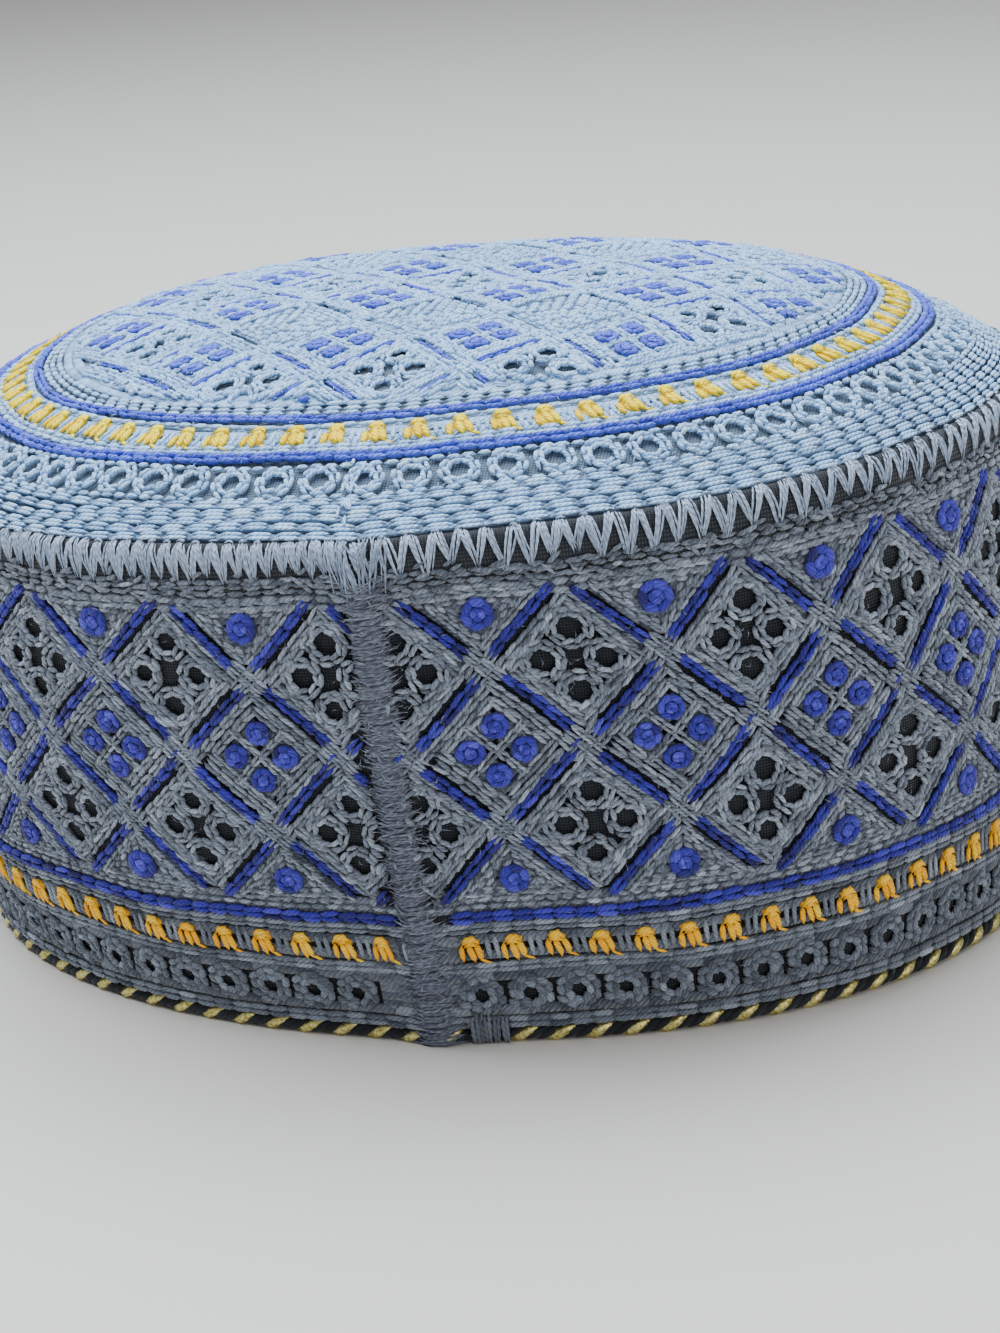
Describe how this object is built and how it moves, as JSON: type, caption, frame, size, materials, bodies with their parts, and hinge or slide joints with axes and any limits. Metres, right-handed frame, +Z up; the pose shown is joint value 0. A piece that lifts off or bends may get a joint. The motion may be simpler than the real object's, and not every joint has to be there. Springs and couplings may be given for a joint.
{
  "type": "embroidered prayer cap",
  "caption": "Brimless embroidered prayer cap: a soft oval band closed by a domed crown panel, with overcast joins and a twisted cord round the hem.",
  "frame": {"origin": "middle of the cap's box, on the floor that the hem stands on", "axes": "+X along the oval's long axis, -Y towards the band's seam, +Z up through the crown"},
  "size_m": [0.2134, 0.2008, 0.1149],
  "materials": {
    "band_cloth": "grey thread embroidery with blue and orange stitches on a dark woven ground",
    "crown_cloth": "grey-blue thread embroidery with blue and yellow stitches on a dark woven ground",
    "overcast_thread": "dense overcast stitches of grey thread",
    "seam_thread": "grey thread wound across the seam",
    "hem_cord": "twisted black cord with a gold metallic strand"
  },
  "bodies": {
    "root": {"side_band": "band_cloth", "crown_panel": "crown_cloth", "crown_join_ridge": "overcast_thread", "band_seam_ridge": "seam_thread", "hem_cord": "hem_cord"}
  },
  "joints": []
}
